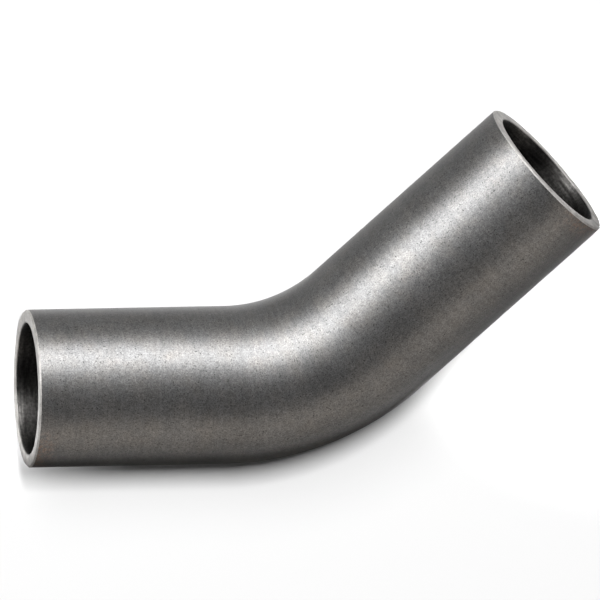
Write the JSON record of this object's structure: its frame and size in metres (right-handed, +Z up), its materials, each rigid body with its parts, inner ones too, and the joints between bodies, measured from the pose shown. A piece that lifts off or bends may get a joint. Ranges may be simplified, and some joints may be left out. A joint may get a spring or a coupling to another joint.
{
  "type": "pipe bend",
  "caption": "Thick-walled steel tube with a smooth 45 degree bend between straight legs, square-cut and lightly chamfered at its ends, that turns a pipe run.",
  "frame": {"origin": "under the middle of the part's box, on the surface that it lies on", "axes": "+X along leg A from its free end towards the bend, +Y the side that leg B turns to, +Z up, square to the plane of the centreline"},
  "size_m": [0.2176, 0.1392, 0.0603],
  "materials": {
    "steel": "dark grey mill finish outside, turned bright ends"
  },
  "bodies": {
    "root": {"pipe_bend": "steel"}
  },
  "joints": []
}
